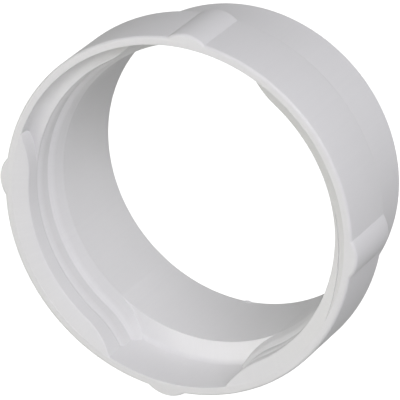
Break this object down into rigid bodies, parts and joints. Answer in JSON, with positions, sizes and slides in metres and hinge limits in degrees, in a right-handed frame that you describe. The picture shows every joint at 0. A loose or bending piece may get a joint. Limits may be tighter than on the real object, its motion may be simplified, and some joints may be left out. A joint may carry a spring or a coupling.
{
  "type": "dryer vent hose adapter",
  "caption": "Round adapter for a dryer vent hose: a tube that the hose slides over, behind a wider collar with ridged twist-lock lugs inside and small pads outside",
  "frame": {"origin": "on the tube's axis, in the plane of the tube's open end, at the bottom centre of the bounding box", "axes": "+Z runs along the tube's axis from the tube's open end to the collar's rim; +X and +Y each pass through the middle of a pad"},
  "size_m": [0.1176, 0.1176, 0.0525],
  "materials": {
    "white_plastic": "moulded satin"
  },
  "bodies": {
    "root": {"hose_adapter": "white_plastic"}
  },
  "joints": []
}
